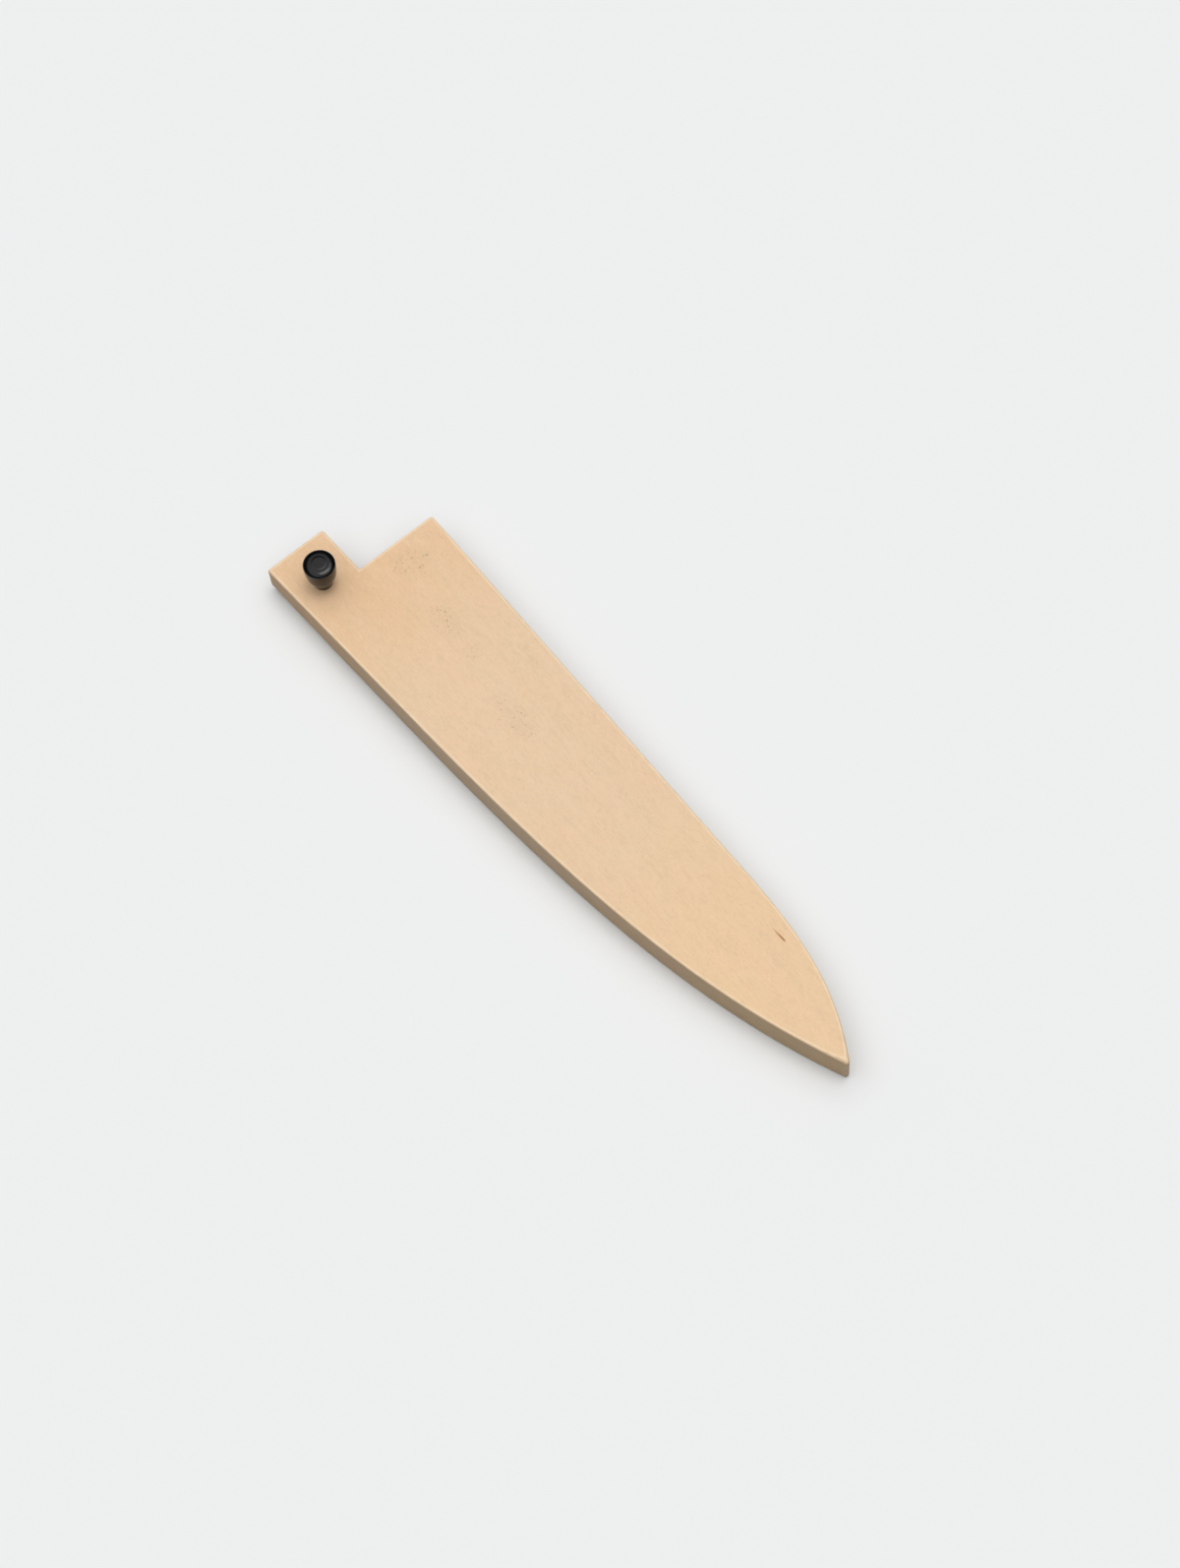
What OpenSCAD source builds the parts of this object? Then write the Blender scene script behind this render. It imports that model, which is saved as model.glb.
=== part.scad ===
// Wooden sheath that covers the blade of a kitchen knife, with a turned pin that locks it on.
// Two cheeks and two strips, glued flat to each other, leave a slot in the shape of the blade.
// The sheath lies on its back cheek: X runs from the mouth to the tip, Y from the cutting edge
// to the spine and Z up. The origin is on the underside, at half the length and half the width.

/* [Overall] */
// Length from the end of the tab to the tip
overall_length = 185.8; // [180:0.1:196]
// Width from the cutting-edge side of the tab to the spine side of the mouth
overall_width = 39.2; // [37.5:0.1:42]

/* [Boards] */
// Thickness of each of the two cheeks
cheek_t = 2.4; // [2:0.1:4]
// Thickness of the two strips between the cheeks, which is the gap for the blade
slot_t = 4.4; // [4.3:0.1:6]
// Width of the strip along the spine
spine_wall = 4; // [3:0.1:5.5]
// Width of the strip along the cutting edge
edge_wall = 4.5; // [3.5:0.1:6]

/* [Tab] */
// Length of the tab that reaches past the mouth, beside the knife's neck
tab_length = 14.5; // [12:0.5:18]
// Width of the tab, from the cutting-edge side to the notch
tab_width = 16.9; // [15.5:0.1:18.5]
// Radius of the tab's outer corner
tab_corner_r = 0.6; // [0.3:0.1:3]
// Radius of the tab's corner beside the notch
notch_corner_r = 0.7; // [0.3:0.1:2]
// Radius of the corner between the mouth and the spine
mouth_corner_r = 0.8; // [0.3:0.1:2]

/* [Spine side] */
// Slope of the straight part, in degrees
spine_slope = 2; // [1:0.1:3]
// Length of the straight part
spine_straight = 121; // [110:1:126]
// Reach of the curve along the straight part's direction
spine_reach = 23; // [16:1:28]
// Slope where it meets the tip, in degrees
spine_tip_slope = 32; // [29:1:38]
// Reach of the curve along the tip's direction
spine_tip_reach = 16; // [11:1:21]

/* [Cutting-edge side] */
// Slope of the straight part, in degrees
edge_slope = 1.55; // [0.5:0.05:2.5]
// Length of the straight part
edge_straight = 56; // [48:1:64]
// Reach of the curve along the straight part's direction
edge_reach = 55; // [45:1:62]
// Slope where it meets the tip, in degrees
edge_tip_slope = 22; // [18:1:26]
// Reach of the curve along the tip's direction
edge_tip_reach = 38; // [28:1:45]

/* [Tip] */
// Height of the tip above the lowest point of the cutting-edge side
tip_height = 21.7; // [20.5:0.1:23]
// Radius of the tip's nose
tip_r = 0.7; // [0.4:0.1:1.5]

/* [Pin] */
// Diameter of the shank
shank_d = 4; // [3:0.1:4.6]
// Radial clearance between the shank and its holes
pin_clearance = 0.05; // [0.01:0.01:0.1]
// Distance from the mouth back to the pin's axis
pin_setback = 2.9; // [2.5:0.1:5]
// Distance from the notch to the pin's axis
pin_inset = 8.7; // [7.5:0.1:9.8]
// Distance that the shank's end stays inside the back face
shank_recess = 0.3; // [0.1:0.1:1]
// Chamfer round the shank's end
shank_chamfer = 0.5; // [0.2:0.1:1]
// Width of the shoulder that seats on the front cheek
shoulder_w = 0.3; // [0.2:0.05:0.6]
// Height of the tapered neck
neck_h = 4.4; // [3:0.1:6]
// Diameter where the neck meets the head
head_base_d = 7.3; // [6:0.1:7.5]
// Largest diameter of the head
head_d = 7.9; // [7.5:0.1:9.5]
// Height of the head
head_h = 5.1; // [4:0.1:7]
// Diameter of the head's flat top
head_top_d = 6.6; // [5:0.1:7.4]
// Height of the rounded rim below the flat top
rim_h = 1.7; // [0.8:0.1:2.5]

/* [Hidden] */
$fn = 64;
// Straight pieces that stand for each long curve, each small corner and the pin's rim
curve_steps = 24;
corner_steps = 6;
rim_steps = 8;
// Distance that a cut runs past what it cuts
overcut = 1;
wood_colour = [0.91, 0.78, 0.63];
pin_colour = [0.07, 0.07, 0.07];

full_t = 2 * cheek_t + slot_t;
tab_x = -overall_length / 2;
mouth_x = tab_x + tab_length;
low_y = -overall_width / 2;
notch_y = low_y + tab_width;
pin_x = mouth_x - pin_setback;
pin_y = notch_y - pin_inset;

// Unit vector at an angle from X
function heading(a) = [cos(a), sin(a)];
// Unit vector a quarter turn to the left of a heading
function left(h) = [-h.y, h.x];
// Points along a round corner, both ends included
function arc(centre, r, from, to) =
    [for (i = [0 : corner_steps]) centre + r * heading(from + (to - from) * i / corner_steps)];
function reversed(list) = [for (i = [len(list) - 1 : -1 : 0]) list[i]];
function all_but_last(list) = [for (i = [0 : len(list) - 2]) list[i]];

// A smooth curve that leaves p[0] towards p[1] and arrives at p[3] from p[2]
function curve_point(p, t) =
    pow(1 - t, 3) * p[0] + 3 * t * pow(1 - t, 2) * p[1] + 3 * t * t * (1 - t) * p[2] + pow(t, 3) * p[3];
function curve_rate(p, t) =
    pow(1 - t, 2) * (p[1] - p[0]) + 2 * t * (1 - t) * (p[2] - p[1]) + t * t * (p[3] - p[2]);
// The curve's points, each moved to the left of its heading by a gap
function curve(p, gap = 0) =
    [for (i = [0 : curve_steps])
        let (t = i / curve_steps, rate = curve_rate(p, t))
        curve_point(p, t) + gap * left(rate / norm(rate))];

tip_centre = [overall_length / 2 - tip_r, low_y + tip_height];

spine_heading = heading(-spine_slope);
spine_corner = [mouth_x + mouth_corner_r, overall_width / 2 - mouth_corner_r];
spine_start = spine_corner + mouth_corner_r * left(spine_heading);
spine_bend = spine_start + spine_straight * spine_heading;
spine_end = tip_centre + tip_r * heading(90 - spine_tip_slope);
spine_curve = [
    spine_bend,
    spine_bend + spine_reach * spine_heading,
    spine_end - spine_tip_reach * heading(-spine_tip_slope),
    spine_end
];

edge_heading = heading(edge_slope);
edge_corner = [tab_x + tab_corner_r, low_y + tab_corner_r];
edge_start = edge_corner - tab_corner_r * left(edge_heading);
edge_bend = edge_start + edge_straight * edge_heading;
edge_end = tip_centre + tip_r * heading(edge_tip_slope - 90);
edge_curve = [
    edge_bend,
    edge_bend + edge_reach * edge_heading,
    edge_end - edge_tip_reach * heading(edge_tip_slope),
    edge_end
];

// The slot's two long sides, drawn on past the end of the tab
slot_run = tab_length + 2 * mouth_corner_r + overcut;
slot_top = concat(
    [spine_start - slot_run * spine_heading - spine_wall * left(spine_heading)],
    curve(spine_curve, -spine_wall)
);
slot_bottom = concat(
    [edge_start - slot_run * edge_heading + edge_wall * left(edge_heading)],
    curve(edge_curve, edge_wall)
);

// The sheath seen from above, counted from the tab's outer corner round by the tip
module outline() {
    polygon(concat(
        arc(edge_corner, tab_corner_r, 180, 270 + edge_slope),
        all_but_last(curve(edge_curve)),
        arc(tip_centre, tip_r, edge_tip_slope - 90, 90 - spine_tip_slope),
        reversed(all_but_last(curve(spine_curve))),
        arc(spine_corner, mouth_corner_r, 90 - spine_slope, 180),
        [[mouth_x, notch_y]],
        arc([tab_x + notch_corner_r, notch_y - notch_corner_r], notch_corner_r, 90, 180)
    ));
}

// Everything on the cutting-edge side of a line of points
module below(line) {
    last = line[len(line) - 1];
    polygon(concat(
        line,
        [[overall_length, last.y], [overall_length, -overall_width], [line[0].x, -overall_width]]
    ));
}

module cheek() {
    difference() {
        linear_extrude(cheek_t) outline();
        translate([pin_x, pin_y, -overcut]) cylinder(d = shank_d + 2 * pin_clearance, h = cheek_t + 2 * overcut);
    }
}

module back_cheek() {
    color(wood_colour) cheek();
}

module front_cheek() {
    color(wood_colour) translate([0, 0, cheek_t + slot_t]) cheek();
}

// The strip along the cutting edge runs from the end of the tab to the tip
module edge_strip() {
    color(wood_colour) translate([0, 0, cheek_t]) linear_extrude(slot_t) intersection() {
        outline();
        below(slot_bottom);
    }
}

// The strip along the spine runs from the mouth and butts on the other strip near the tip
module spine_strip() {
    color(wood_colour) translate([0, 0, cheek_t]) linear_extrude(slot_t) difference() {
        outline();
        below(slot_top);
        below(slot_bottom);
    }
}

// The pin goes through both cheeks and the slot, and its shoulder seats on the front cheek
module locking_pin() {
    shank_r = shank_d / 2;
    shank_end = shank_recess - full_t;
    rim_z = neck_h + head_h - rim_h;
    rim_w = (head_d - head_top_d) / 2;
    color(pin_colour) translate([pin_x, pin_y, full_t]) rotate_extrude() polygon(concat(
        [
            [0, shank_end],
            [shank_r - shank_chamfer, shank_end],
            [shank_r, shank_end + shank_chamfer],
            [shank_r, 0],
            [shank_r + shoulder_w, 0],
            [head_base_d / 2, neck_h]
        ],
        [for (i = [0 : rim_steps])
            let (a = 90 * i / rim_steps)
            [head_top_d / 2 + rim_w * cos(a), rim_z + rim_h * sin(a)]],
        [[0, neck_h + head_h]]
    ));
}

back_cheek();
edge_strip();
spine_strip();
front_cheek();
locking_pin();
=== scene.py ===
import math

import bpy
import numpy as np
from mathutils import Matrix, Vector
from mathutils.geometry import delaunay_2d_cdt


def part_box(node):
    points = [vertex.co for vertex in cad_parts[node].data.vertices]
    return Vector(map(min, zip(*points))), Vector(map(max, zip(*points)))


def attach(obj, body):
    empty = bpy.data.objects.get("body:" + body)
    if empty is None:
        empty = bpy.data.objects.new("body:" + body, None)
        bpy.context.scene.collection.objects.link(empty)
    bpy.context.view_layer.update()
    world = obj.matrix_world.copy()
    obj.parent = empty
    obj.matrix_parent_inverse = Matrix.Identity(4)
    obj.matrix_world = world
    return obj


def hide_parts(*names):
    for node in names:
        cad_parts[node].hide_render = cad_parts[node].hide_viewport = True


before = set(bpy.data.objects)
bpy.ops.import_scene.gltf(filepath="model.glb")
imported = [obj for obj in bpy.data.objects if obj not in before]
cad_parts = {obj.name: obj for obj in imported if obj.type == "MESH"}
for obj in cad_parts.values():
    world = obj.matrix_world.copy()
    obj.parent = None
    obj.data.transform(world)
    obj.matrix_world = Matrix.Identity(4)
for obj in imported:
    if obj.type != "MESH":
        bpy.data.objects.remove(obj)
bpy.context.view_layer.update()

# A wooden sheath for a kitchen knife, made of two cheeks and two strips, and its turned pin.
# Everything is in metres and in the frame's axes: X runs from the mouth to the tip, Y from the
# cutting edge to the spine and Z up. MM turns a size in millimetres into metres.
MM = 0.001

# Places that the frame gives
FRONT_LOW, FRONT_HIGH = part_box("front_cheek")
BACK_LOW, BACK_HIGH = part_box("back_cheek")
PIN_LOW, PIN_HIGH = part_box("locking_pin")
TAB_X, TIP_X = FRONT_LOW.x, FRONT_HIGH.x
LOW_Y, HIGH_Y = FRONT_LOW.y, FRONT_HIGH.y
MOUTH_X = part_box("spine_strip")[0].x
BACK_Z, LOW_SEAM_Z = BACK_LOW.z, BACK_HIGH.z
HIGH_SEAM_Z, FRONT_Z = FRONT_LOW.z, FRONT_HIGH.z
PIN_AXIS = np.array([(PIN_LOW.x + PIN_HIGH.x) / 2, (PIN_LOW.y + PIN_HIGH.y) / 2])

# The outline's own sizes
TAB_WIDTH = 16.9 * MM
TAB_CORNER_R = 0.6 * MM
NOTCH_CORNER_R = 0.7 * MM
MOUTH_CORNER_R = 0.8 * MM
TIP_R = 0.7 * MM
TIP_HEIGHT = 21.7 * MM
EDGE = dict(slope=1.55, straight=56 * MM, reach=55 * MM, tip_slope=22, tip_reach=38 * MM)
SPINE = dict(slope=-2, straight=121 * MM, reach=23 * MM, tip_slope=-32, tip_reach=16 * MM)
EDGE_WALL = 4.5 * MM
SPINE_WALL = 4 * MM
HOLE_R = 2.05 * MM

# How the wood's edges are rounded off: a little all over, more across the mouth and the tab's end,
# where the tab's low corner is worn and where the nose is shaped, and a trace along the slot's
# rims. The low corner's wear has a width, a height, and a reach along X and Y.
EASED_ABOVE = 0.35 * MM
EASED_BELOW = 0.3 * MM
EASED_SHAPE = 1.5
WORN_WIDTH = 0.75 * MM
WORN_HEIGHT = 3.4 * MM
WORN_ALONG = 31 * MM
WORN_ACROSS = 5 * MM
WORN_TOP = 0.15 * MM
WORN_TOP_SPREAD = 9 * MM
ENDS_ABOVE = 0.15 * MM
ENDS_FADE = 1.5 * MM
NOSE_ABOVE = 0.5 * MM
NOSE_BELOW = 0.5 * MM
NOSE_LENGTH = 3.5 * MM
RIM = 0.15 * MM
RIM_FADE = 1 * MM
# How far the pale edge line, partly wear and partly painted highlight, runs in on the flat faces,
# and its strength and reach round upright edges
PALE_EDGE_REACH = 0.45 * MM
UPRIGHT_WEAR_AND_HIGHLIGHT = 0.7
UPRIGHT_REACH = 0.9 * MM

# How finely the wood is meshed: the distance between points along a side and their least number
STATION = 1.1 * MM
LEAST_POINTS = 6
CORNER_STEPS = 10
# The stretch over which a side's points shift to meet its corner, and the least corner radius
SLIDE = 6 * MM
LEAST_R = 0.3 * MM
# A cheek's levels, which crowd towards its outer face
LEVELS = 10
LEVEL_GRADE = 2.2
# Distances of a cheek's last levels from its seam, as shares of the rim
RIM_LEVELS = (0.6, 0.25, 0)
STRIP_LEVELS = 8
HOLE_STEPS = 72
# Depths below the outer face and widths beyond the hole, as shares of the rim
HOLE_FLARE = ((1, 0), (0.3, 0.45), (0, 1))
# The kind of triangulation that keeps to the inside of its borders, and the distance in millimetres
# at which it takes two points for one
INSIDE_ONLY = 1
SAME_PLACE = 1e-6

CURVE_POINTS = 400
# Edges sharper than this stay sharp
FLAT_ANGLE = math.radians(35)


def heading(degrees):
    """Unit vector at an angle from X."""
    return np.array([math.cos(math.radians(degrees)), math.sin(math.radians(degrees))])


def left(ahead):
    """A quarter turn to the left of one heading or of a list of them."""
    ahead = np.asarray(ahead)
    return np.stack([-ahead[..., 1], ahead[..., 0]], axis=-1)


def bezier(p0, p1, p2, p3, count=CURVE_POINTS):
    """Points along a smooth curve from p0 to p3."""
    t = np.linspace(0, 1, count)[:, None]
    return (1 - t) ** 3 * p0 + 3 * t * (1 - t) ** 2 * p1 + 3 * t * t * (1 - t) * p2 + t ** 3 * p3


class Side:
    """A stretch of the outline. Places on it are given by their distance from its start."""

    def __init__(self, points):
        self.points = np.array(points, float)
        steps = np.diff(self.points, axis=0)
        lengths = np.linalg.norm(steps, axis=1)
        steps /= lengths[:, None]
        self.runs = np.append(0, np.cumsum(lengths))
        self.length = self.runs[-1]
        self.headings = np.vstack([steps[:1], (steps[:-1] + steps[1:]) / 2, steps[-1:]])

    def at(self, runs):
        """Points and headings at these distances, which may lie past the ends."""
        runs = np.atleast_1d(runs)
        inside = np.clip(runs, 0, self.length)
        points = np.column_stack([np.interp(inside, self.runs, c) for c in self.points.T])
        headings = np.column_stack([np.interp(inside, self.runs, c) for c in self.headings.T])
        headings /= np.linalg.norm(headings, axis=1)[:, None]
        return points + (runs - inside)[:, None] * headings, headings

    def shifted(self, gap):
        """The side's line moved to the left by a gap, and run on a little before its start."""
        line = self.points + gap * left(self.headings)
        return np.vstack([line[0] - SLIDE * self.headings[0], line])

    def split(self, x):
        """The two stretches of the side before and after the place that has this X."""
        order = np.argsort(self.points[:, 0])
        run = np.interp(x, self.points[order, 0], self.runs[order])
        place = self.at(run)[0]
        before, after = self.points[self.runs < run], self.points[self.runs > run]
        return Side(np.vstack([before, place])), Side(np.vstack([place, after]))


def long_side(start, end, slope, straight, reach, tip_slope, tip_reach):
    """A straight line from start, then a curve that arrives at end with the tip's slope."""
    bend = start + straight * heading(slope)
    before_end = end - tip_reach * heading(tip_slope)
    return Side(np.vstack([start, bezier(bend, bend + reach * heading(slope), before_end, end)]))


def y_on(line, x):
    """The Y of a line that runs along X."""
    return np.interp(x, line[:, 0], line[:, 1])


def meeting(line, other):
    """Where a line crosses another one from below."""
    gap = y_on(other, line[:, 0]) - line[:, 1]
    last = np.nonzero(gap > 0)[0][-1]
    share = gap[last] / (gap[last] - gap[last + 1])
    return line[last] + share * (line[last + 1] - line[last])


notch_y = LOW_Y + TAB_WIDTH
tip_centre = np.array([TIP_X - TIP_R, LOW_Y + TIP_HEIGHT])
tab_centre = np.array([TAB_X + TAB_CORNER_R, LOW_Y + TAB_CORNER_R])
mouth_centre = np.array([MOUTH_X + MOUTH_CORNER_R, HIGH_Y - MOUTH_CORNER_R])

edge = long_side(
    tab_centre - TAB_CORNER_R * left(heading(EDGE["slope"])),
    tip_centre - TIP_R * left(heading(EDGE["tip_slope"])),
    **EDGE,
)
spine = long_side(
    mouth_centre + MOUTH_CORNER_R * left(heading(SPINE["slope"])),
    tip_centre + TIP_R * left(heading(SPINE["tip_slope"])),
    **SPINE,
)
slot_low = edge.shifted(EDGE_WALL)
slot_high = spine.shifted(-SPINE_WALL)
slot_tip = meeting(slot_low, slot_high)
butt = meeting(slot_low, spine.points)
mouth_strip_y = y_on(slot_high, MOUTH_X)
tab_strip_y = y_on(slot_low, TAB_X)

spine_tip, spine_rest = Side(spine.points[::-1]).split(butt[0])

# The outline anticlockwise, seen from above: each side with the radius of the corner after it,
# where None runs straight on and 0 is the notch's inner corner
OUTLINE = {
    "edge": (edge, TIP_R),
    "spine_tip": (spine_tip, None),
    "spine": (spine_rest, MOUTH_CORNER_R),
    "mouth_strip": (Side([[MOUTH_X, mouth_centre[1]], [MOUTH_X, mouth_strip_y]]), None),
    "mouth": (Side([[MOUTH_X, mouth_strip_y], [MOUTH_X, notch_y]]), 0),
    "notch": (Side([[MOUTH_X, notch_y], [TAB_X + NOTCH_CORNER_R, notch_y]]), NOTCH_CORNER_R),
    "tab_end": (Side([[TAB_X, notch_y - NOTCH_CORNER_R], [TAB_X, tab_strip_y]]), None),
    "tab_strip": (Side([[TAB_X, tab_strip_y], [TAB_X, tab_centre[1]]]), TAB_CORNER_R),
}
SIDES = list(OUTLINE)
# The corners whose upright edges carry the pale edge line, partly wear and partly painted highlight
UPRIGHTS = ((TAB_X, LOW_Y), (TAB_X, notch_y), (MOUTH_X, HIGH_Y), (TIP_X, LOW_Y + TIP_HEIGHT))


def rounding(share):
    """How far a rounded edge is cut back, from 0 where it starts to 1 at the flat face."""
    share = np.clip(share, 0, 1)
    return 1 - (1 - share ** EASED_SHAPE) ** (1 / EASED_SHAPE)


def edge_sizes(points):
    """The rounded edges' sizes at points of the outline: width and height below, and both above."""
    x, y = points[..., 0], points[..., 1]
    nose = np.exp((x - TIP_X) / NOSE_LENGTH)
    worn = np.exp((TAB_X - x) / WORN_ALONG + (LOW_Y - y) / WORN_ACROSS)
    worn_top = np.exp(-np.hypot(x - TAB_X, y - LOW_Y) / WORN_TOP_SPREAD)
    beside_notch = np.clip((y - notch_y) / ENDS_FADE, 0, 1)
    ends = np.exp((TAB_X - x) / ENDS_FADE) + beside_notch * np.exp((MOUTH_X - x) / ENDS_FADE)
    return (
        EASED_BELOW + WORN_WIDTH * worn + NOSE_BELOW * nose,
        EASED_BELOW + WORN_HEIGHT * worn + NOSE_BELOW * nose,
        EASED_ABOVE + ENDS_ABOVE * ends + WORN_TOP * worn_top + NOSE_ABOVE * nose,
    )


def inset(z, points):
    """How far the wood's side lies inside the outline at a height."""
    x, y = points[..., 0], points[..., 1]
    low_width, low_height, high = edge_sizes(points)
    into_slot = np.minimum(y - y_on(slot_low, x), y_on(slot_high, x) - y)
    at_rim = np.where(x < MOUTH_X + RIM, np.clip(into_slot / RIM_FADE, 0, 1), 0)
    from_seam = max(z - HIGH_SEAM_Z, LOW_SEAM_Z - z)
    return (
        low_width * rounding(1 - (z - BACK_Z) / low_height)
        + high * rounding(1 - (FRONT_Z - z) / high)
        + RIM * at_rim * rounding(1 - from_seam / RIM)
    )


def wear_and_highlight(z, points):
    """The pale edge line's share, partly wear and partly painted highlight: 1 where a rounded edge
    meets the flat face, down to 0 on the side away from corners.
    """
    low_width, low_height, high = edge_sizes(points)
    below = np.clip(1 - (z - BACK_Z) / low_height, 0, 1)
    above = np.clip(1 - (FRONT_Z - z) / high, 0, 1)
    gap = np.min([np.linalg.norm(points - corner, axis=-1) for corner in UPRIGHTS], axis=0)
    upright = UPRIGHT_WEAR_AND_HIGHLIGHT * np.exp(-(gap / UPRIGHT_REACH) ** 2)
    return np.maximum(below + above, upright)


def turn(before, after, z, extra):
    """The corner between two sides at a height: how much it shortens both, and its points."""
    radius = OUTLINE[before][1]
    if radius is None:
        return 0, None
    from_side, to_side = OUTLINE[before][0], OUTLINE[after][0]
    (end,), (ahead,) = from_side.at(from_side.length)
    next_ahead = to_side.at(0)[1][0]
    out, next_out = -left(ahead), -left(next_ahead)
    centre = end - radius * out
    depth = inset(z, end) + extra
    kept = max(radius - depth, LEAST_R) if radius else 0
    spare = (depth + kept - radius) / (1 + out @ next_out)
    centre = centre - spare * (out + next_out)
    if not radius:
        return spare * (next_out @ ahead), [centre]
    first = math.atan2(out[1], out[0])
    sweep = math.acos(out @ next_out)
    angles = first + sweep * np.linspace(0, 1, CORNER_STEPS + 1)
    arc = centre + kept * np.column_stack([np.cos(angles), np.sin(angles)])
    return spare * (next_out @ ahead), list(arc)


def walk(names, z, extra=0):
    """The outline at a height along these sides, as points, moved in by an extra distance."""
    points = []
    for name in names:
        side = OUTLINE[name][0]
        before = SIDES[SIDES.index(name) - 1]
        after = SIDES[(SIDES.index(name) + 1) % len(SIDES)]
        start_cut = turn(before, name, z, extra)[0]
        end_cut, corner = turn(name, after, z, extra)
        runs = np.linspace(0, side.length, max(LEAST_POINTS, round(side.length / STATION)))
        slide = min(SLIDE, side.length / 2)
        places, headings = side.at(
            runs
            + start_cut * np.clip(1 - runs / slide, 0, 1)
            - end_cut * np.clip(1 - (side.length - runs) / slide, 0, 1)
        )
        line = places + (inset(z, side.at(runs)[0]) + extra)[:, None] * left(headings)
        if not points and len(names) < len(SIDES):
            points.append(line[0])
        last_side = name == names[-1] and len(names) < len(SIDES)
        points.extend(line[1:] if corner is None or last_side else [*line[1:-1], *corner])
    return np.array(points)


class Shell:
    """A mesh in the making, from closed rings of points."""

    def __init__(self):
        self.points = []
        self.wear_and_highlight = []
        self.faces = []

    def ring(self, plan, z, worn=0):
        """Adds the points of a ring and returns their numbers."""
        first = len(self.points)
        self.points.extend([x, y, z] for x, y in plan)
        self.wear_and_highlight.extend(np.broadcast_to(worn, len(plan)))
        return list(range(first, len(self.points)))

    def wall(self, low, high):
        """Faces between two rings that run anticlockwise round the material."""
        for k in range(len(low)):
            after = (k + 1) % len(low)
            self.faces.append([low[k], low[after], high[after], high[k]])

    def cap(self, loops, upward):
        """A flat face inside the first loop and outside the pin's hole, if there is a second one.

        Round a flared hole, narrow faces past the hole's own radius stay.
        """
        numbers = [n for loop in loops for n in loop]
        plan = [Vector(self.points[n][:2]) / MM for n in numbers]
        borders = []
        for loop in loops:
            first = len(borders)
            borders.extend((first + k, first + (k + 1) % len(loop)) for k in range(len(loop)))
        spots, _, faces, origins, *_ = delaunay_2d_cdt(plan, borders, [], INSIDE_ONLY, SAME_PLACE)
        names = [numbers[origin[0]] for origin in origins]
        for face in faces:
            middle = sum((spots[k] for k in face), Vector((0, 0))) / 3
            if len(loops) > 1 and (middle - Vector(PIN_AXIS / MM)).length < HOLE_R / MM:
                continue
            one, two, three = (spots[k] for k in face)
            anticlockwise = (two - one).cross(three - one) > 0
            corners = [names[k] for k in face]
            self.faces.append(corners if anticlockwise == upward else corners[::-1])

    def piece(self, name, material):
        """The finished object, smooth except across sharp edges."""
        mesh = bpy.data.meshes.new(name)
        mesh.from_pydata(self.points, [], self.faces)
        mesh.validate()
        attribute = mesh.attributes.new("wear_and_highlight", "FLOAT", "POINT")
        attribute.data.foreach_set("value", np.array(self.wear_and_highlight, np.float32))
        mesh.shade_smooth()
        mesh.set_sharp_from_angle(angle=FLAT_ANGLE)
        mesh.materials.append(material)
        made = bpy.data.objects.new(name, mesh)
        bpy.context.scene.collection.objects.link(made)
        weighted = made.modifiers.new("weighted normals", "WEIGHTED_NORMAL")
        weighted.keep_sharp = True
        return made


def hole(radius):
    """A ring round the pin's axis, clockwise because the material is outside it."""
    angles = -2 * math.pi * np.arange(HOLE_STEPS) / HOLE_STEPS
    return PIN_AXIS + radius * np.column_stack([np.cos(angles), np.sin(angles)])


def cheek(name, outer_z, inner_z, material):
    """A board with its outer edges rounded off and a hole for the pin."""
    up = 1 if outer_z > inner_z else -1
    thickness = abs(outer_z - inner_z)
    depths = (thickness - RIM) * (np.arange(LEVELS + 1) / LEVELS) ** LEVEL_GRADE
    depths = np.append(depths, thickness - RIM * np.array(RIM_LEVELS))
    heights = sorted(outer_z - up * depths)
    shell = Shell()
    rings = []
    for z in heights:
        plan = walk(SIDES, z)
        rings.append(shell.ring(plan, z, wear_and_highlight(z, plan)))
    flat = shell.ring(walk(SIDES, outer_z, PALE_EDGE_REACH), outer_z)
    rings = [*rings, flat] if up > 0 else [flat, *rings]
    holes = [shell.ring(hole(HOLE_R), inner_z)]
    for depth, flare in HOLE_FLARE:
        holes.append(shell.ring(hole(HOLE_R + flare * RIM), outer_z - up * depth * RIM))
    if up < 0:
        holes.reverse()
    for stack in (rings, holes):
        for low, high in zip(stack, stack[1:]):
            shell.wall(low, high)
    shell.cap([rings[0], holes[0]], upward=False)
    shell.cap([rings[-1], holes[-1]], upward=True)
    return shell.piece(name, material)


def along(line, from_x, to_x):
    """Points on a line from one X to another, the first left out."""
    count = max(2, round(abs(to_x - from_x) / STATION))
    x = np.linspace(from_x, to_x, count + 1)[1:]
    return np.column_stack([x, y_on(line, x)])


def strip(name, sides, slot_line, material):
    """A strip between the cheeks, from its part of the outline and its line along the slot."""
    shell = Shell()
    rings = []
    for z in np.linspace(LOW_SEAM_Z, HIGH_SEAM_Z, STRIP_LEVELS):
        outer = walk(sides, z)
        plan = np.vstack([outer, slot_line])
        marks = np.append(wear_and_highlight(z, outer), np.zeros(len(slot_line)))
        rings.append(shell.ring(plan, z, marks))
    for low, high in zip(rings, rings[1:]):
        shell.wall(low, high)
    shell.cap([rings[0]], upward=False)
    shell.cap([rings[-1]], upward=True)
    return shell.piece(name, material)


# The turned pin, as radii and heights above the front cheek in millimetres. Its top is a small flat
# disc in a faintly sloping ring, and its head narrows into a waisted neck that stands on the wood.
PIN_TOP = (PIN_HIGH.z - FRONT_Z) / MM
RING_TOP = PIN_TOP - 0.05
PIN_DISC = ((0, PIN_TOP), (0.875, PIN_TOP))
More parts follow.
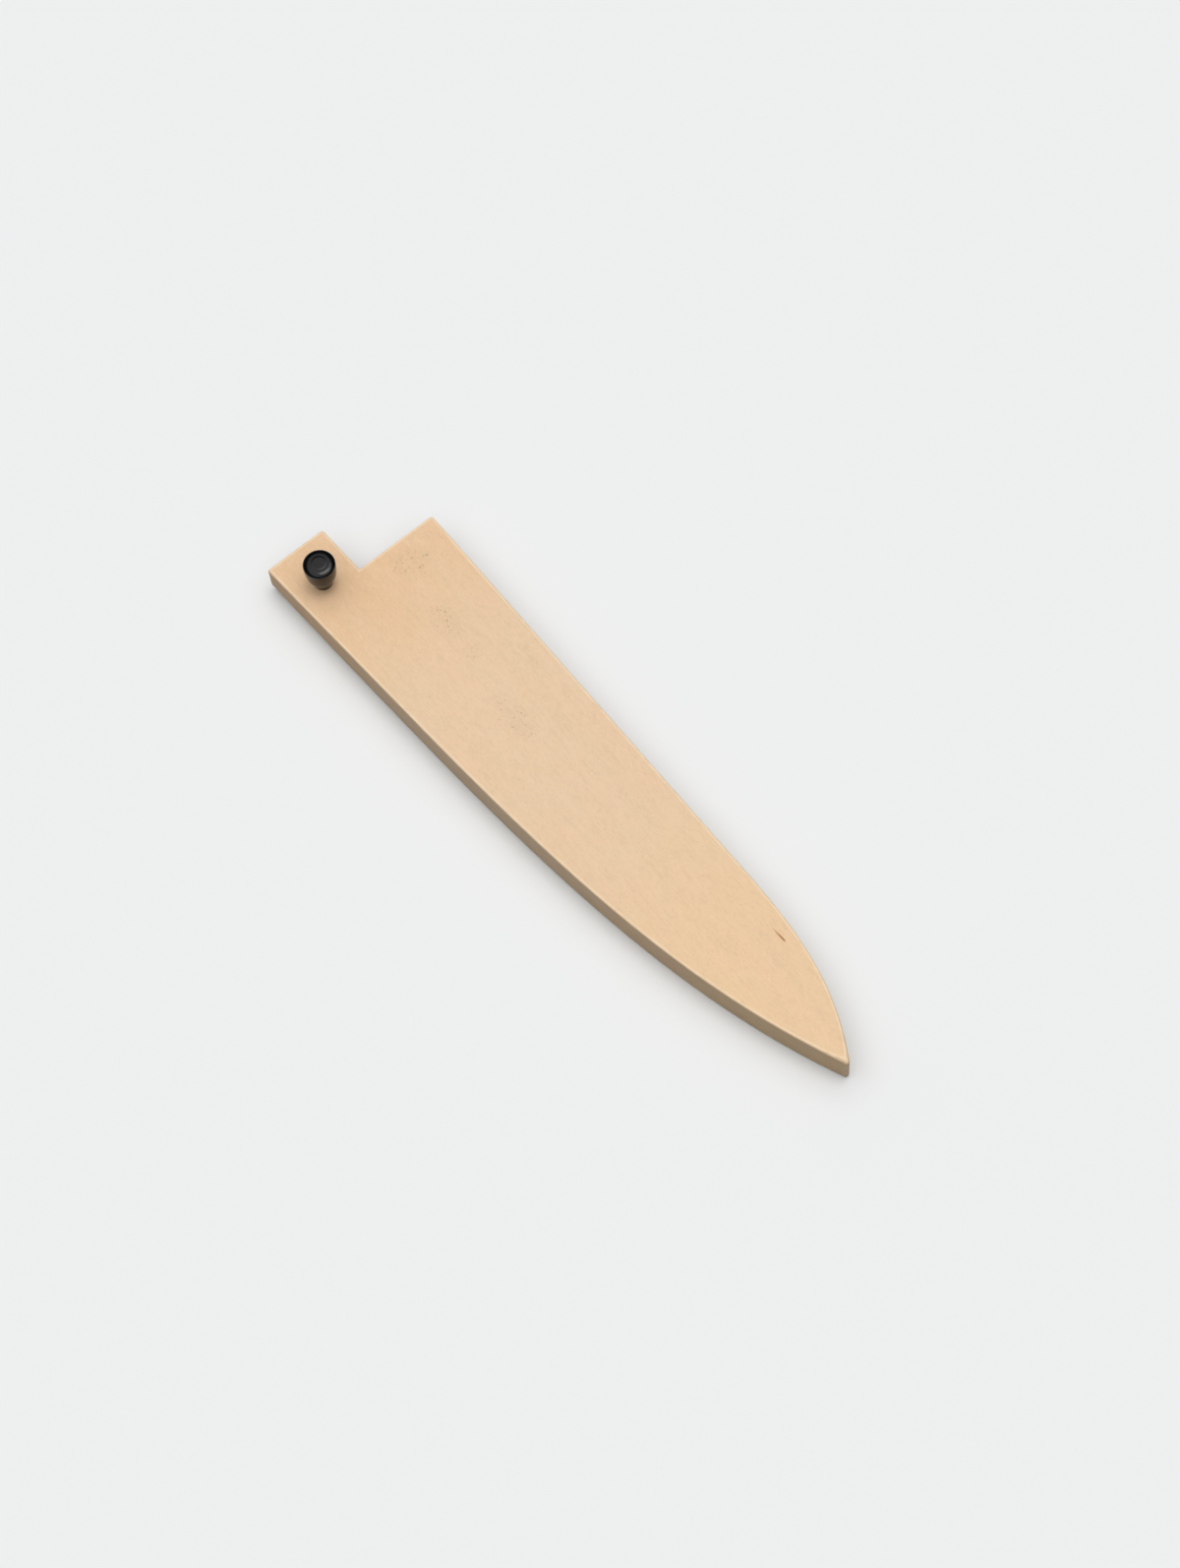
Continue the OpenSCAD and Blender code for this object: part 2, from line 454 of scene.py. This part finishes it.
# Each part's number of points, and its smooth curve's start, two handles and end
PIN_CURVES = {
    "crease": (10, (1.45, PIN_TOP), (1.65, PIN_TOP), (1.85, RING_TOP), (2.05, RING_TOP)),
    "ring": (20, (2.05, RING_TOP), (2.67, RING_TOP), (2.82, 9.42), (3.17, 9.31)),
    "rim": (20, (3.19, 9.298), (3.45, 9.2), (3.7, 9.07), (3.8, 8.95)),
    "shoulder": (14, (3.8, 8.95), (3.91, 8.8), (3.95, 8.68), (3.95, 8.5)),
    "head": (16, (3.95, 8.35), (3.95, 7.1), (3.86, 5.43), (3.65, 4.33)),
    "neck": (24, (3.6, 4.15), (3.4, 3.43), (2.5, 2), (2.3, 0)),
}
SHANK_R = 2
SHANK_END = (PIN_LOW.z - FRONT_Z) / MM
SHANK_CHAMFER = 0.5
PIN_SHANK = (
    (SHANK_R, 0),
    (SHANK_R, SHANK_END + SHANK_CHAMFER),
    (SHANK_R - SHANK_CHAMFER, SHANK_END),
    (0, SHANK_END),
)
PIN_STEPS = 144


def pin_profile():
    """The pin's outline from the middle of its top down to the middle of its lower end."""
    lines = [bezier(*np.array(points), count=count) for count, *points in PIN_CURVES.values()]
    profile = np.vstack([PIN_DISC, *lines, PIN_SHANK])
    moves = np.any(profile[1:] != profile[:-1], axis=1)
    return MM * profile[np.append(True, moves)]


def lathe(name, profile, material):
    """A solid turned round the pin's axis, from its top's middle to its lower end's."""
    shell = Shell()
    angles = 2 * math.pi * np.arange(PIN_STEPS) / PIN_STEPS
    circle = np.column_stack([np.cos(angles), np.sin(angles)])
    rings = [shell.ring(PIN_AXIS + r * circle, FRONT_Z + z) for r, z in profile[1:-1]]
    for high, low in zip(rings, rings[1:]):
        shell.wall(low, high)
    for ring, (_, z), upward in ((rings[0], profile[0], True), (rings[-1], profile[-1], False)):
        middle = shell.ring([PIN_AXIS], FRONT_Z + z)[0]
        for k, number in enumerate(ring):
            after = ring[(k + 1) % len(ring)]
            shell.faces.append([middle, number, after] if upward else [middle, after, number])
    return shell.piece(name, material)


def linear(red, green, blue):
    """A colour given as 0 to 255 on screen, as Blender's linear values."""
    def one(value):
        value /= 255
        return value / 12.92 if value <= 0.04045 else ((value + 0.055) / 1.055) ** 2.4
    return (one(red), one(green), one(blue), 1)


class Tree:
    """A node tree, with short ways to add its nodes."""

    def __init__(self, tree):
        self.tree = tree
        self.tree.nodes.clear()

    def add(self, kind, inputs=(), **settings):
        """Adds a node. Inputs are values or other nodes' outputs, by input name or number."""
        node = self.tree.nodes.new(kind)
        for name, value in settings.items():
            setattr(node, name, value)
        for name, value in dict(inputs).items():
            if isinstance(value, bpy.types.NodeSocket):
                self.tree.links.new(value, node.inputs[name])
            else:
                node.inputs[name].default_value = value
        return node

    def math(self, operation, *values):
        """A number worked out from other ones."""
        return self.add("ShaderNodeMath", enumerate(values), operation=operation).outputs[0]

    def parts(self, vector):
        """A vector's X, Y and Z."""
        return self.add("ShaderNodeSeparateXYZ", {0: vector}).outputs

    def scaled(self, vector, factors):
        """A vector with each of its parts multiplied by a factor."""
        node = self.add("ShaderNodeVectorMath", {0: vector, 1: factors}, operation="MULTIPLY")
        return node.outputs[0]

    def noise(self, place, sizes, detail=3, roughness=0.5, warp=0):
        """Noise from 0 to 1 whose features have these sizes along X, Y and Z, in metres."""
        where = self.scaled(place, [1 / size for size in sizes])
        node = self.add("ShaderNodeTexNoise", {
            "Vector": where,
            "Scale": 1,
            "Detail": detail,
            "Roughness": roughness,
            "Distortion": warp,
        })
        return node.outputs["Fac"]

    def ramp(self, value, low, high, to_low=0, to_high=1):
        """Turns a value between low and high smoothly into one between the other two."""
        node = self.add("ShaderNodeMapRange", {
            "Value": value,
            "From Min": low,
            "From Max": high,
            "To Min": to_low,
            "To Max": to_high,
        }, interpolation_type="SMOOTHSTEP")
        return node.outputs["Result"]

    def mix(self, share, one, two):
        """A colour between two others, which takes this share from the second."""
        # Inputs 6 and 7 and output 2 are the node's colours
        return self.add("ShaderNodeMix", {0: share, 6: one, 7: two}, data_type="RGBA").outputs[2]


def new_material(name):
    """A material and its empty node tree."""
    material = bpy.data.materials.new(name)
    material.use_nodes = True
    return material, Tree(material.node_tree)


def near(tree, place, centre, sizes):
    """1 at a centre, falling smoothly to 0 at these distances from it along X, Y and Z."""
    squares = []
    for value, middle, size in zip(tree.parts(place), centre, sizes):
        gap = tree.math("DIVIDE", tree.math("SUBTRACT", value, middle), size)
        squares.append(tree.math("MULTIPLY", gap, gap))
    total = tree.math("ADD", tree.math("ADD", squares[0], squares[1]), squares[2])
    return tree.ramp(tree.math("SQRT", total), 1, 0)


# The noises behind the wood's figure: the sizes of their features along the grain and across it,
# and their other settings
WOOD_NOISES = {
    "bands": (160 * MM, 7 * MM, {"warp": 0.6}),
    "streaks": (14 * MM, 0.9 * MM, {}),
    "fibres": (3.5 * MM, 0.16 * MM, {"roughness": 0.6}),
    "blotches": (17 * MM, 9 * MM, {}),
    "mottle": (3.2 * MM, 1.7 * MM, {"roughness": 0.6, "warp": 0.5}),
    "grains": (0.8 * MM, 0.45 * MM, {"detail": 2, "roughness": 0.6}),
}
# The ground colours from the tab to the tip, with the stretch of X over which each takes over
TAB_GROUND = (231, 191, 149)
GROUNDS = (
    (-65 * MM, -20 * MM, (231, 200, 165)),
    (20 * MM, 75 * MM, (235, 200, 158)),
)
GROUND_WANDER = 30 * MM
# The tones over them: the noise that places a tone, the noise's values where the tone starts and
# where it is full, its greatest share and its colour
WOOD_TONES = (
    ("bands", 0.4, 0.7, 0.3, (225, 195, 157)),
    ("blotches", 0.4, 0.7, 0.4, (234, 195, 162)),
    ("mottle", 0.5, 0.75, 0.42, (219, 188, 150)),
    ("mottle", 0.5, 0.28, 0.38, (238, 203, 166)),
    ("grains", 0.5, 0.8, 0.3, (210, 173, 135)),
    ("grains", 0.5, 0.25, 0.25, (242, 210, 174)),
    ("streaks", 0.52, 0.8, 0.2, (214, 177, 139)),
    ("fibres", 0.54, 0.8, 0.25, (202, 164, 128)),
    ("fibres", 0.46, 0.25, 0.22, (240, 208, 172)),
)
# A fade holds the two values between which something changes, and what it gives there if that
# isn't 0 and 1
PORE_LENGTH, PORE_WIDTH = 1.9 * MM, 0.5 * MM
PORE_FADE = (0.2, 0.08)
PORE_SHARE, PORE_COLOUR = 0.14, (150, 112, 80)
END_GRAIN_FADE = (0.75, 0.95)
END_GRAIN_SHARE, END_GRAIN_COLOUR = 0.3, (196, 156, 116)
# The pale edge line along the arrises, partly wear and partly a painted highlight
WORN_AND_HIGHLIT_FADE = (0.3, 0.7, 0.75, 0.45)
WORN_AND_HIGHLIT_COLOUR = (250, 224, 190)
FIBRE_RELIEF, GRAIN_RELIEF, PORE_RELIEF = 0.8, 0.5, 0.5
RELIEF_HEIGHT, RELIEF_STRENGTH = 0.04 * MM, 0.35
WOOD_ROUGHNESS = (0.3, 0.7, 0.55, 0.68)
WOOD_IOR = 1.45

# Marks on the wood: faint grey stains, as middles and half sizes, with clusters of freckles in them
STAINS = (
    ([-71 * MM, 8 * MM, FRONT_Z], [6.5 * MM, 8 * MM, 2 * MM]),
    ([-53 * MM, 4.3 * MM, FRONT_Z], [9 * MM, 5 * MM, 2 * MM]),
    ([-43 * MM, 4 * MM, FRONT_Z], [4 * MM, 4 * MM, 2 * MM]),
    ([-23 * MM, 0 * MM, FRONT_Z], [12 * MM, 4.5 * MM, 2 * MM]),
)
STAIN_SHARE, STAIN_COLOUR = 0.1, (196, 174, 140)
# The freckles' spacing, the share of places without one, and the strength of the darkest
FRECKLES = ((1.7 * MM, 0.45, 0.8), (1 * MM, 0.35, 0.65), (0.6 * MM, 0.3, 0.4))
FRECKLE_STRETCH = 1.25
FRECKLE_FADE = (0.26, 0.05)
FRECKLE_COLOUR = (150, 112, 76)
CLUMP_SIZES = (2.6 * MM, 2 * MM, 2 * MM)
CLUMP_FADE = (0.38, 0.62, 0.25, 1)
INSIDE_STAIN = (0.05, 0.6)
# How far noise shifts the freckles out of their rows, and how fine it is
SHAKE, SHAKE_SCALE = 1.5 * MM, 0.7 / MM
# One brown fleck, which darkens from its start to its end and stops within its tail
FLECK = ([60 * MM, 10.7 * MM, FRONT_Z], [5 * MM, 0.42 * MM, 0.8 * MM])
FLECK_START, FLECK_END, FLECK_TAIL = 55.3 * MM, 61.2 * MM, 0.7 * MM
FLECK_AT_START = 0.1
FLECK_COLOUR = (164, 86, 36)
# Painted shade round the foot of the pin, with some grime in it
PIN_SHADE_AND_GRIME = ([PIN_AXIS[0] + 0.5 * MM, PIN_AXIS[1] - 0.5 * MM, FRONT_Z], [5.5 * MM, 5.5 * MM, 1 * MM])
PIN_SHADE_AND_GRIME_SHARE, PIN_SHADE_AND_GRIME_COLOUR = 0.16, (182, 140, 100)


def stains(tree, place):
    """1 in the middles of the stains, falling to 0 at their rims."""
    stain = None
    for middle, sizes in STAINS:
        patch = near(tree, place, middle, sizes)
        stain = patch if stain is None else tree.math("MAXIMUM", stain, patch)
    return stain


def freckles(tree, place, stain):
    """The freckles' strength, from 0 outside the stains to 1."""
    shift = tree.add("ShaderNodeTexNoise", {"Vector": place, "Scale": SHAKE_SCALE, "Detail": 2})
    shaken = tree.add("ShaderNodeVectorMath", {
        0: shift.outputs["Color"], 1: (SHAKE, SHAKE, 0), 2: place,
    }, operation="MULTIPLY_ADD").outputs[0]
    strongest = None
    for size, empty, strength in FRECKLES:
        cells = tree.add("ShaderNodeTexVoronoi", {
            "Vector": tree.scaled(shaken, (1 / size, FRECKLE_STRETCH / size, 0)), "Scale": 1,
        }, voronoi_dimensions="2D")
        chance = tree.add("ShaderNodeSeparateColor", {0: cells.outputs["Color"]}).outputs[0]
        specks = tree.math(
            "MULTIPLY",
            tree.ramp(cells.outputs["Distance"], *FRECKLE_FADE),
            tree.ramp(chance, empty, 1, 0, strength),
        )
        strongest = specks if strongest is None else tree.math("MAXIMUM", strongest, specks)
    clumps = tree.ramp(tree.noise(place, CLUMP_SIZES, detail=2), *CLUMP_FADE)
    inside = tree.ramp(stain, *INSIDE_STAIN)
    return tree.math("MULTIPLY", tree.math("MULTIPLY", strongest, clumps), inside)


def fleck(tree, place):
    """The brown fleck's strength, from 0 to 1."""
    x = tree.parts(place)[0]
    darker = tree.math(
        "MULTIPLY",
        tree.ramp(x, FLECK_START, FLECK_END, FLECK_AT_START, 1),
        tree.ramp(x, FLECK_END + FLECK_TAIL, FLECK_END),
    )
    return tree.math("MULTIPLY", near(tree, place, *FLECK), darker)


def wood():
    """Bare, finely sanded magnolia: pale, almost figureless, with fine lengthwise fibres."""
    material, tree = new_material("sanded magnolia")
    place = tree.add("ShaderNodeTexCoord").outputs["Object"]
    noises = {
        name: tree.noise(place, (length, width, width), **settings)
        for name, (length, width, settings) in WOOD_NOISES.items()
    }
    pore_cells = tree.add("ShaderNodeTexVoronoi", {
        "Vector": tree.scaled(place, (1 / PORE_LENGTH, 1 / PORE_WIDTH, 1 / PORE_WIDTH)), "Scale": 1,
    })
    pores = tree.ramp(pore_cells.outputs["Distance"], *PORE_FADE)
    normal = tree.add("ShaderNodeNewGeometry").outputs["True Normal"]
    lengthwise = tree.math("ABSOLUTE", tree.parts(normal)[0])
    stain = stains(tree, place)
    # The share of the pale edge line, partly wear and partly a painted highlight on the arrises
    worn = tree.add("ShaderNodeAttribute", attribute_name="wear_and_highlight").outputs["Fac"]
    patchy = tree.ramp(noises["mottle"], *WORN_AND_HIGHLIT_FADE)

    along_grain = tree.math("MULTIPLY_ADD", noises["bands"], GROUND_WANDER, tree.parts(place)[0])
    layers = [(tree.ramp(along_grain, start, end), tone) for start, end, tone in GROUNDS]
    for name, start, full, share, tone in WOOD_TONES:
        layers.append((tree.ramp(noises[name], start, full, 0, share), tone))
    layers += [
        (tree.math("MULTIPLY", pores, PORE_SHARE), PORE_COLOUR),
        (tree.ramp(lengthwise, *END_GRAIN_FADE, 0, END_GRAIN_SHARE), END_GRAIN_COLOUR),
        (tree.math("MULTIPLY", stain, STAIN_SHARE), STAIN_COLOUR),
        (freckles(tree, place, stain), FRECKLE_COLOUR),
        (fleck(tree, place), FLECK_COLOUR),
        # Painted shade round the pin's foot, mixed with grime
        (tree.math("MULTIPLY", near(tree, place, *PIN_SHADE_AND_GRIME), PIN_SHADE_AND_GRIME_SHARE), PIN_SHADE_AND_GRIME_COLOUR),
        # Pale edge line: partly wear, partly a painted highlight along the arrises
        (tree.math("MULTIPLY", worn, patchy), WORN_AND_HIGHLIT_COLOUR),
    ]
    colour = linear(*TAB_GROUND)
    for share, tone in layers:
        colour = tree.mix(share, colour, linear(*tone))

    relief = tree.math(
        "ADD",
        tree.math("MULTIPLY", noises["fibres"], FIBRE_RELIEF),
        tree.math("MULTIPLY", noises["grains"], GRAIN_RELIEF),
    )
    relief = tree.math("SUBTRACT", relief, tree.math("MULTIPLY", pores, PORE_RELIEF))
    bump = tree.add("ShaderNodeBump", {
        "Strength": RELIEF_STRENGTH, "Distance": RELIEF_HEIGHT, "Height": relief,
    })
    shader = tree.add("ShaderNodeBsdfPrincipled", {
        "Base Color": colour,
        "Roughness": tree.ramp(noises["fibres"], *WOOD_ROUGHNESS),
        "IOR": WOOD_IOR,
        "Normal": bump.outputs[0],
    })
    tree.add("ShaderNodeOutputMaterial", {"Surface": shader.outputs[0]})
    return material


# The pin's surface. Its turning marks' noise is laid over radius and height.
TURNING_MARKS = (0.12 * MM, 0.12 * MM, 1)
MARK_HEIGHT, MARK_STRENGTH = 0.01 * MM, 0.12
SCUFF_SIZES = (0.9 * MM, 0.9 * MM, 0.9 * MM)
SMEAR_SIZES = (3 * MM, 3 * MM, 3 * MM)
PIN_BLACK, PIN_SCUFFED = (7, 7, 8), (12, 12, 12)
PIN_TONE_FADE = (0.35, 0.75)
SCUFF_ROUGHNESS = (0.35, 0.8, 0.08, 0.16)
SMEAR_ROUGHNESS = (0.3, 0.7, 0, 0.04)
PIN_IOR = 1.38


def pin_plastic():
    """Polished black plastic with faint turning marks and finer scuffs."""
    material, tree = new_material("polished black")
    place = tree.add("ShaderNodeTexCoord").outputs["Object"]
    x, y, z = tree.parts(place)
    from_axis = tree.add("ShaderNodeCombineXYZ", {
        0: tree.math("SUBTRACT", x, PIN_AXIS[0]),
        1: tree.math("SUBTRACT", y, PIN_AXIS[1]),
    }).outputs[0]
    radius = tree.add("ShaderNodeVectorMath", {0: from_axis}, operation="LENGTH").outputs["Value"]
    turned = tree.add("ShaderNodeCombineXYZ", {0: radius, 1: z}).outputs[0]
    rings = tree.noise(turned, TURNING_MARKS, roughness=0.6)
    scuffs = tree.noise(place, SCUFF_SIZES, detail=6, roughness=0.7)
    smears = tree.noise(place, SMEAR_SIZES, detail=2)
    tone = tree.ramp(scuffs, *PIN_TONE_FADE)
    colour = tree.mix(tone, linear(*PIN_BLACK), linear(*PIN_SCUFFED))
    roughness = tree.math(
        "ADD",
        tree.ramp(scuffs, *SCUFF_ROUGHNESS),
        tree.ramp(smears, *SMEAR_ROUGHNESS),
    )
    bump = tree.add("ShaderNodeBump", {
        "Strength": MARK_STRENGTH, "Distance": MARK_HEIGHT, "Height": rings,
    })
    shader = tree.add("ShaderNodeBsdfPrincipled", {
        "Base Color": colour,
        "Roughness": roughness,
        "IOR": PIN_IOR,
        "Normal": bump.outputs[0],
    })
    tree.add("ShaderNodeOutputMaterial", {"Surface": shader.outputs[0]})
    return material


# The studio. Angles are in degrees, and elevations count up from the horizon.
PALE = 0.85
FLOOR_BOUNCE = 0.2
FLOOR_HALF = 12
FLOOR_GAP = 0.02 * MM
# What lights the object: dim walls with a broad window in them, a ceiling that glows more on one
# side, and a small soft lamp below it
WALLS = (0.16, 0.18, 0.19)
WINDOW = 3.2
WINDOW_AZIMUTH = 178
WINDOW_HALF_WIDTH = 62
CEILING = (1.33, 1.34, 1.34)
CEILING_FROM = 38
CEILING_FULL = 50
CEILING_GLOW_AZIMUTH = 205
CEILING_GLOW = 0.25
LAMP_AZIMUTH = 78
LAMP_ELEVATION = 80
LAMP_SPREAD = 27
LAMP_STRENGTH = 0.62
LAMP_COLOUR = (1, 0.97, 0.94)
# What reflections see: dark walls over a pale horizon, the ceiling from higher up, and a bright
# patch, the glint, with the angles from its middle at which it starts and is full
DARK = 0.03
PALE_BELOW = 2
DARK_ABOVE = 8
MIRRORED_FROM = 46
MIRRORED_FULL = 66
GLINT = 2.6
GLINT_AZIMUTH = 83
GLINT_ELEVATION = 75
GLINT_FROM = 24
GLINT_FULL = 17


def shown(tree):
    """1 for camera, reflected and transmitted rays, 0 for light on the object."""
    path = tree.add("ShaderNodeLightPath").outputs
    seen = tree.math("MAXIMUM", path["Is Camera Ray"], path["Is Glossy Ray"])
    return tree.math("MAXIMUM", seen, path["Is Transmission Ray"])


def grey(value):
    """A grey of this linear value."""
    return (value, value, value, 1)


def floor():
    """A plain pale floor that keeps the sheath's shadow."""
    material, tree = new_material("pale floor")
    colour = tree.mix(shown(tree), grey(FLOOR_BOUNCE), grey(PALE))
    shader = tree.add("ShaderNodeBsdfDiffuse", {"Color": colour})
    tree.add("ShaderNodeOutputMaterial", {"Surface": shader.outputs[0]})
    mesh = bpy.data.meshes.new("floor")
    corners = [(-FLOOR_HALF, -FLOOR_HALF), (FLOOR_HALF, -FLOOR_HALF),
               (FLOOR_HALF, FLOOR_HALF), (-FLOOR_HALF, FLOOR_HALF)]
    mesh.from_pydata([(x, y, -FLOOR_GAP) for x, y in corners], [], [(0, 1, 2, 3)])
    mesh.materials.append(material)
    made = bpy.data.objects.new("floor", mesh)
    bpy.context.scene.collection.objects.link(made)


def toward(azimuth, elevation):
    """Unit vector to a place in the sky, with azimuths counted from X towards Y."""
    across = math.cos(math.radians(elevation))
    along_x, along_y = across * heading(azimuth)
    return Vector((along_x, along_y, math.sin(math.radians(elevation))))


def room():
    """The world: what lights the object, what reflections see, and a pale one for the camera."""
    world = bpy.data.worlds.new("room")
    world.use_nodes = True
    bpy.context.scene.world = world
    tree = Tree(world.node_tree)
    direction = tree.add("ShaderNodeTexCoord").outputs["Generated"]

    def rising(low, high):
        """0 below one elevation, 1 above the other."""
        ends = (math.sin(math.radians(elevation)) for elevation in (low, high))
        return tree.ramp(tree.parts(direction)[2], *ends)

    def facing(azimuth, elevation=0):
        """The cosine of the angle from a place in the sky."""
        return tree.add("ShaderNodeVectorMath", {
            0: direction, 1: toward(azimuth, elevation),
        }, operation="DOT_PRODUCT").outputs["Value"]

    glow = tree.math("MULTIPLY_ADD", facing(CEILING_GLOW_AZIMUTH), CEILING_GLOW, 1)
    ceiling = tree.scaled(CEILING, glow)
    window_edge = math.cos(math.radians(WINDOW_HALF_WIDTH))
    window = tree.ramp(facing(WINDOW_AZIMUTH), window_edge, 1, 1, 1 + WINDOW)
    lit = tree.mix(rising(CEILING_FROM, CEILING_FULL), tree.scaled(WALLS, window), ceiling)

    mirrored = tree.mix(rising(PALE_BELOW, DARK_ABOVE), grey(PALE), grey(DARK))
    mirrored = tree.mix(rising(MIRRORED_FROM, MIRRORED_FULL), mirrored, ceiling)
    glint_edge = (math.cos(math.radians(angle)) for angle in (GLINT_FROM, GLINT_FULL))
    glint = tree.ramp(facing(GLINT_AZIMUTH, GLINT_ELEVATION), *glint_edge)
    mirrored = tree.mix(glint, mirrored, grey(GLINT))

    colour = tree.mix(shown(tree), lit, mirrored)
    camera_ray = tree.add("ShaderNodeLightPath").outputs["Is Camera Ray"]
    colour = tree.mix(camera_ray, colour, grey(PALE))
    shader = tree.add("ShaderNodeBackground", {"Color": colour, "Strength": 1})
    tree.add("ShaderNodeOutputWorld", {"Surface": shader.outputs[0]})


def lamp():
    """One soft lamp, far away and high."""
    data = bpy.data.lights.new("softbox", "SUN")
    data.energy = LAMP_STRENGTH
    data.color = LAMP_COLOUR
    data.angle = math.radians(LAMP_SPREAD)
    made = bpy.data.objects.new("softbox", data)
    made.rotation_euler = toward(LAMP_AZIMUTH, LAMP_ELEVATION).to_track_quat("Z", "Y").to_euler()
    bpy.context.scene.collection.objects.link(made)


# The photograph's camera
CAMERA_PLACE = (0.29637, -0.19286, 0.7519)
CAMERA_AZIMUTH = 146.42
CAMERA_DOWN = 64.56
CAMERA_ROLL = -6.85
LENS_MM = 81.3
SENSOR_MM = 36


def camera():
    """The camera at the photograph's viewing angle."""
    azimuth, down, roll = (math.radians(a) for a in (CAMERA_AZIMUTH, CAMERA_DOWN, CAMERA_ROLL))
    across = math.cos(down)
    ahead = Vector((math.cos(azimuth) * across, math.sin(azimuth) * across, -math.sin(down)))
    level = Vector((math.sin(azimuth), -math.cos(azimuth), 0))
    upright = level.cross(ahead)
    right = math.cos(roll) * level + math.sin(roll) * upright
    up = math.cos(roll) * upright - math.sin(roll) * level
    data = bpy.data.cameras.new("camera")
    data.lens = LENS_MM
    data.sensor_width = SENSOR_MM
    made = bpy.data.objects.new("camera", data)
    turned = Matrix((right, up, -ahead)).transposed().to_4x4()
    made.matrix_world = Matrix.Translation(CAMERA_PLACE) @ turned
    bpy.context.scene.collection.objects.link(made)
    bpy.context.scene.camera = made


def main():
    """Makes the five pieces and sets each in its node's place, then the studio round them."""
    wood_material = wood()
    edge_line = along(slot_low, butt[0], TAB_X)[:-1]
    spine_line = np.vstack([
        along(slot_high, MOUTH_X, slot_tip[0]),
        along(slot_low, slot_tip[0], butt[0])[:-1],
    ])
    edge_sides = ["tab_strip", "edge", "spine_tip"]
    spine_sides = ["spine", "mouth_strip"]
    pieces = {
        "front_cheek": cheek("front_cheek_wood", FRONT_Z, HIGH_SEAM_Z, wood_material),
        "back_cheek": cheek("back_cheek_wood", BACK_Z, LOW_SEAM_Z, wood_material),
        "edge_strip": strip("edge_strip_wood", edge_sides, edge_line, wood_material),
        "spine_strip": strip("spine_strip_wood", spine_sides, spine_line, wood_material),
    }
    for node, piece in pieces.items():
        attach(piece, "sheath")
        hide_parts(node)
    pin = lathe("locking_pin_turned", pin_profile(), pin_plastic())
    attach(pin, "pin")
    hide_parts("locking_pin")
    floor()
    room()
    lamp()
    camera()
    bpy.context.scene.view_settings.view_transform = "Standard"


main()
